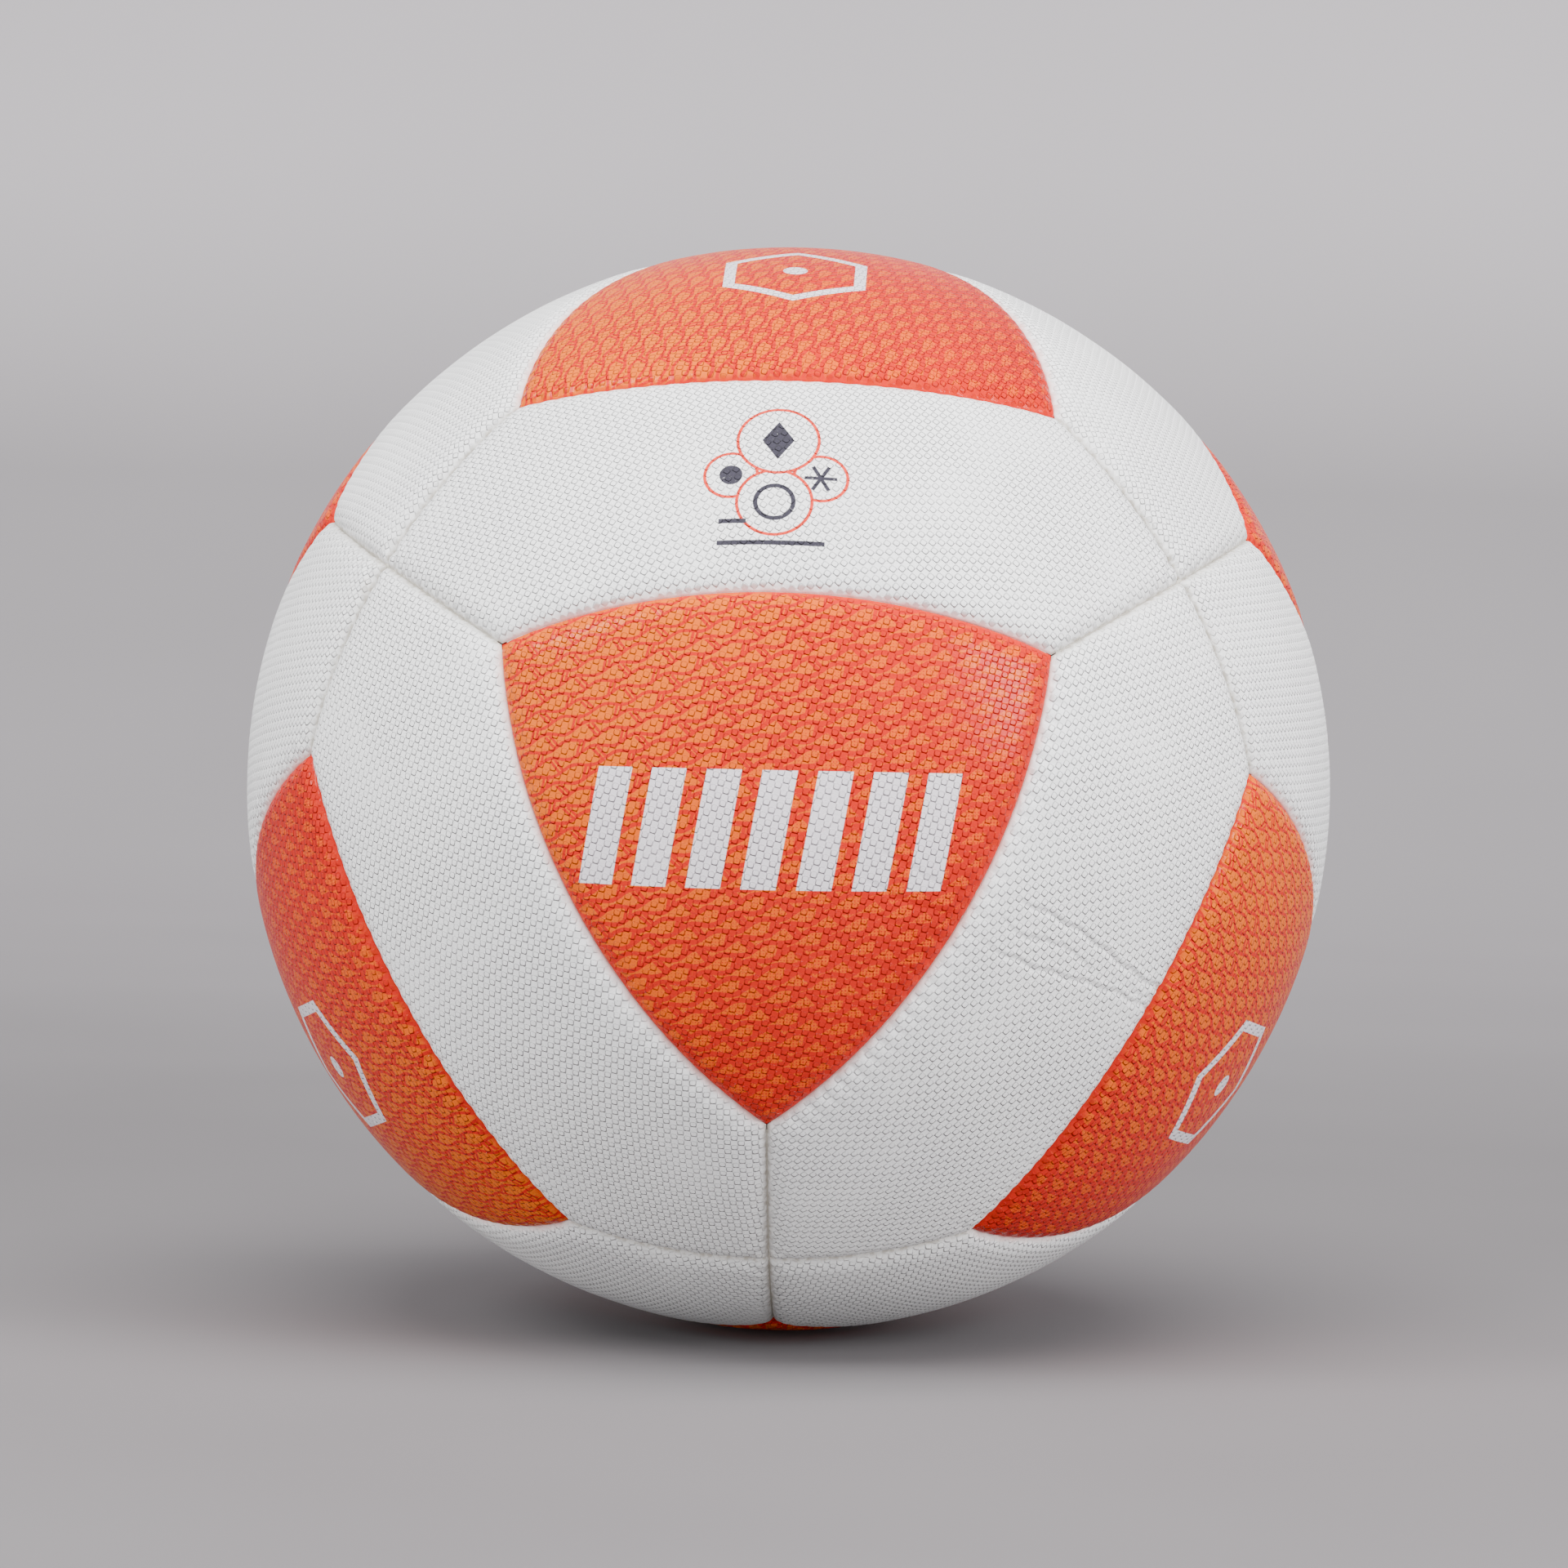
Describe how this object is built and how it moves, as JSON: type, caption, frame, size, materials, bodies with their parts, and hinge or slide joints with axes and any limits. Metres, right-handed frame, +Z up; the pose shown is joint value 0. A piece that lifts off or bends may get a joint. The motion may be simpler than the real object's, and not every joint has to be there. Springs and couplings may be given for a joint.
{
  "type": "soccer ball",
  "caption": "Round stitched football with curved triangular and long cover panels, woven lining, rubber bladder and a pump valve.",
  "frame": {"origin": "centre of the ball", "axes": "-Y through the centre of the front triangular panel, +Y out of the pump valve at the back, +Z up, with one corner of the front triangle pointing down"},
  "size_m": [0.22, 0.2199, 0.22],
  "materials": {
    "printed_cover": "printed synthetic leather with a fine embossed grain, semi-gloss",
    "white_cover": "synthetic leather with a fine embossed grain, satin",
    "woven_lining": "laminated woven cotton and polyester, matt",
    "thread": "waxed polyester thread",
    "bladder_rubber": "smooth butyl rubber",
    "valve_rubber": "moulded rubber, matt",
    "core_rubber": "soft greased rubber",
    "patch_rubber": "rubber sheet, matt"
  },
  "bodies": {
    "root": {"orange_front": "printed_cover", "orange_top": "printed_cover", "orange_lower_left": "printed_cover", "orange_lower_right": "printed_cover", "orange_back": "printed_cover", "orange_bottom": "printed_cover", "orange_upper_right": "printed_cover", "orange_upper_left": "printed_cover", "white_front_top": "white_cover", "white_front_left": "white_cover", "white_front_right": "white_cover", "white_back_bottom": "white_cover", "white_back_right": "white_cover", "white_back_left": "white_cover", "white_belt_01": "white_cover", "white_belt_03": "white_cover", "white_belt_05": "white_cover", "white_belt_07": "white_cover", "white_belt_09": "white_cover", "white_belt_11": "white_cover", "lining_orange_front": "woven_lining", "lining_orange_top": "woven_lining", "lining_orange_lower_left": "woven_lining", "lining_orange_lower_right": "woven_lining", "lining_orange_back": "woven_lining", "lining_orange_bottom": "woven_lining", "lining_orange_upper_right": "woven_lining", "lining_orange_upper_left": "woven_lining", "lining_white_front_top": "woven_lining", "lining_white_front_left": "woven_lining", "lining_white_front_right": "woven_lining", "lining_white_back_bottom": "woven_lining", "lining_white_back_right": "woven_lining", "lining_white_back_left": "woven_lining", "lining_white_belt_01": "woven_lining", "lining_white_belt_03": "woven_lining", "lining_white_belt_05": "woven_lining", "lining_white_belt_07": "woven_lining", "lining_white_belt_09": "woven_lining", "lining_white_belt_11": "woven_lining", "thread_orange_front": "thread", "thread_orange_top": "thread", "thread_orange_lower_left": "thread", "thread_orange_lower_right": "thread", "thread_orange_back": "thread", "thread_orange_bottom": "thread", "thread_orange_upper_right": "thread", "thread_orange_upper_left": "thread", "thread_cross_upper_left": "thread", "thread_cross_upper_right": "thread", "thread_cross_lower_front": "thread", "thread_cross_lower_right": "thread", "thread_cross_lower_left": "thread", "thread_cross_upper_back": "thread", "bladder": "bladder_rubber", "valve_housing": "valve_rubber", "valve_core": "core_rubber", "valve_patch": "patch_rubber", "balance_patch": "patch_rubber"}
  },
  "joints": []
}
